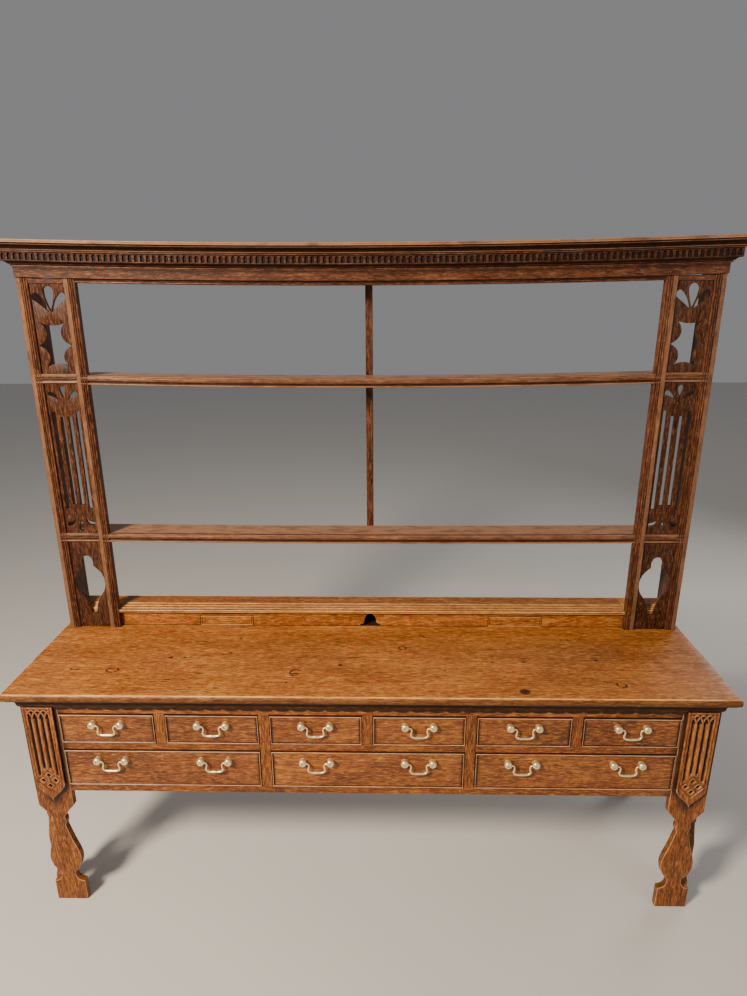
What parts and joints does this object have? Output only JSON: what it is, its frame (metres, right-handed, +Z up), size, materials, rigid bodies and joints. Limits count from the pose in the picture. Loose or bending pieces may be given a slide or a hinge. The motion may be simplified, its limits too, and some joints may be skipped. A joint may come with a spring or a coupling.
{
  "type": "welsh dresser",
  "caption": "Oak dresser base on silhouette legs, with cock-beaded drawers on swan-neck bails, under an open plate rack with pierced pilasters and a dentil cornice.",
  "frame": {"origin": "on the floor, at the middle of the dresser's whole box", "axes": "+X to the right seen from the front, +Y towards the wall, +Z up"},
  "size_m": [2.3174, 0.583, 2.16],
  "materials": {
    "base_oak": "waxed old oak, red-brown",
    "drawer_oak": "waxed old oak, honey brown",
    "top_oak": "polished old oak, orange-brown",
    "rack_oak": "waxed old oak, darker",
    "inner_oak": "unpolished oak inside and behind",
    "handle_brass": "old polished brass"
  },
  "bodies": {
    "root": {"top_board": "top_oak", "top_rail": "base_oak", "middle_rail": "base_oak", "bottom_rail": "base_oak", "full_muntin_left": "base_oak", "short_muntin_left": "base_oak", "front_leg_left": "base_oak", "gothic_shield_left": "base_oak", "rear_leg_left": "base_oak", "end_panel_left": "base_oak", "full_muntin_right": "base_oak", "short_muntin_right": "base_oak", "front_leg_right": "base_oak", "gothic_shield_right": "base_oak", "rear_leg_right": "base_oak", "end_panel_right": "base_oak", "short_muntin_middle": "base_oak", "cove_moulding": "base_oak", "scallop_strip": "base_oak", "back_panel": "inner_oak", "upper_dust_board": "inner_oak", "lower_dust_board": "inner_oak", "pilaster_frame_left": "rack_oak", "fret_board_left": "rack_oak", "end_board_left": "rack_oak", "pilaster_frame_right": "rack_oak", "fret_board_right": "rack_oak", "end_board_right": "rack_oak", "lower_shelf": "rack_oak", "upper_shelf": "rack_oak", "back_mullion": "rack_oak", "frieze": "rack_oak", "cornice": "rack_oak", "dentil_strip": "rack_oak", "roof_board": "rack_oak", "gallery": "rack_oak"},
    "small_drawer_1": {"small_drawer_1": "drawer_oak"},
    "small_bail_1": {"small_bail_1": "handle_brass"},
    "small_drawer_2": {"small_drawer_2": "drawer_oak"},
    "small_bail_2": {"small_bail_2": "handle_brass"},
    "small_drawer_3": {"small_drawer_3": "drawer_oak"},
    "small_bail_3": {"small_bail_3": "handle_brass"},
    "small_drawer_4": {"small_drawer_4": "drawer_oak"},
    "small_bail_4": {"small_bail_4": "handle_brass"},
    "small_drawer_5": {"small_drawer_5": "drawer_oak"},
    "small_bail_5": {"small_bail_5": "handle_brass"},
    "small_drawer_6": {"small_drawer_6": "drawer_oak"},
    "small_bail_6": {"small_bail_6": "handle_brass"},
    "long_drawer_1": {"long_drawer_1": "drawer_oak"},
    "long_bail_1a": {"long_bail_1a": "handle_brass"},
    "long_bail_1b": {"long_bail_1b": "handle_brass"},
    "long_drawer_2": {"long_drawer_2": "drawer_oak"},
    "long_bail_2a": {"long_bail_2a": "handle_brass"},
    "long_bail_2b": {"long_bail_2b": "handle_brass"},
    "long_drawer_3": {"long_drawer_3": "drawer_oak"},
    "long_bail_3a": {"long_bail_3a": "handle_brass"},
    "long_bail_3b": {"long_bail_3b": "handle_brass"},
    "gallery_drawer_left": {"gallery_drawer_left": "rack_oak"},
    "gallery_drawer_right": {"gallery_drawer_right": "rack_oak"}
  },
  "joints": [
    {"name": "small_drawer_1_slide", "type": "slide", "parent": "root", "child": "small_drawer_1", "axis": [0, -1, 0], "range_m": [0, 0.36]},
    {"name": "small_bail_1_swing", "type": "hinge", "parent": "small_drawer_1", "child": "small_bail_1", "pos_m": [-0.81733, -0.2661, 0.7165], "axis": [-1, 0, 0], "range_deg": [0, 110]},
    {"name": "small_drawer_2_slide", "type": "slide", "parent": "root", "child": "small_drawer_2", "axis": [0, -1, 0], "range_m": [0, 0.36]},
    {"name": "small_bail_2_swing", "type": "hinge", "parent": "small_drawer_2", "child": "small_bail_2", "pos_m": [-0.4868, -0.2661, 0.7165], "axis": [-1, 0, 0], "range_deg": [0, 110]},
    {"name": "small_drawer_3_slide", "type": "slide", "parent": "root", "child": "small_drawer_3", "axis": [0, -1, 0], "range_m": [0, 0.36]},
    {"name": "small_bail_3_swing", "type": "hinge", "parent": "small_drawer_3", "child": "small_bail_3", "pos_m": [-0.16162, -0.2661, 0.7165], "axis": [-1, 0, 0], "range_deg": [0, 110]},
    {"name": "small_drawer_4_slide", "type": "slide", "parent": "root", "child": "small_drawer_4", "axis": [0, -1, 0], "range_m": [0, 0.36]},
    {"name": "small_bail_4_swing", "type": "hinge", "parent": "small_drawer_4", "child": "small_bail_4", "pos_m": [0.16162, -0.2661, 0.7165], "axis": [-1, 0, 0], "range_deg": [0, 110]},
    {"name": "small_drawer_5_slide", "type": "slide", "parent": "root", "child": "small_drawer_5", "axis": [0, -1, 0], "range_m": [0, 0.36]},
    {"name": "small_bail_5_swing", "type": "hinge", "parent": "small_drawer_5", "child": "small_bail_5", "pos_m": [0.4868, -0.2661, 0.7165], "axis": [-1, 0, 0], "range_deg": [0, 110]},
    {"name": "small_drawer_6_slide", "type": "slide", "parent": "root", "child": "small_drawer_6", "axis": [0, -1, 0], "range_m": [0, 0.36]},
    {"name": "small_bail_6_swing", "type": "hinge", "parent": "small_drawer_6", "child": "small_bail_6", "pos_m": [0.81733, -0.2661, 0.7165], "axis": [-1, 0, 0], "range_deg": [0, 110]},
    {"name": "long_drawer_1_slide", "type": "slide", "parent": "root", "child": "long_drawer_1", "axis": [0, -1, 0], "range_m": [0, 0.36]},
    {"name": "long_bail_1a_swing", "type": "hinge", "parent": "long_drawer_1", "child": "long_bail_1a", "pos_m": [-0.81733, -0.2661, 0.582], "axis": [-1, 0, 0], "range_deg": [0, 110]},
    {"name": "long_bail_1b_swing", "type": "hinge", "parent": "long_drawer_1", "child": "long_bail_1b", "pos_m": [-0.4868, -0.2661, 0.582], "axis": [-1, 0, 0], "range_deg": [0, 110]},
    {"name": "long_drawer_2_slide", "type": "slide", "parent": "root", "child": "long_drawer_2", "axis": [0, -1, 0], "range_m": [0, 0.36]},
    {"name": "long_bail_2a_swing", "type": "hinge", "parent": "long_drawer_2", "child": "long_bail_2a", "pos_m": [-0.16162, -0.2661, 0.582], "axis": [-1, 0, 0], "range_deg": [0, 110]},
    {"name": "long_bail_2b_swing", "type": "hinge", "parent": "long_drawer_2", "child": "long_bail_2b", "pos_m": [0.16162, -0.2661, 0.582], "axis": [-1, 0, 0], "range_deg": [0, 110]},
    {"name": "long_drawer_3_slide", "type": "slide", "parent": "root", "child": "long_drawer_3", "axis": [0, -1, 0], "range_m": [0, 0.36]},
    {"name": "long_bail_3a_swing", "type": "hinge", "parent": "long_drawer_3", "child": "long_bail_3a", "pos_m": [0.4868, -0.2661, 0.582], "axis": [-1, 0, 0], "range_deg": [0, 110]},
    {"name": "long_bail_3b_swing", "type": "hinge", "parent": "long_drawer_3", "child": "long_bail_3b", "pos_m": [0.81733, -0.2661, 0.582], "axis": [-1, 0, 0], "range_deg": [0, 110]},
    {"name": "gallery_drawer_left_slide", "type": "slide", "parent": "root", "child": "gallery_drawer_left", "axis": [0, -1, 0], "range_m": [0, 0.05]},
    {"name": "gallery_drawer_right_slide", "type": "slide", "parent": "root", "child": "gallery_drawer_right", "axis": [0, -1, 0], "range_m": [0, 0.05]}
  ]
}
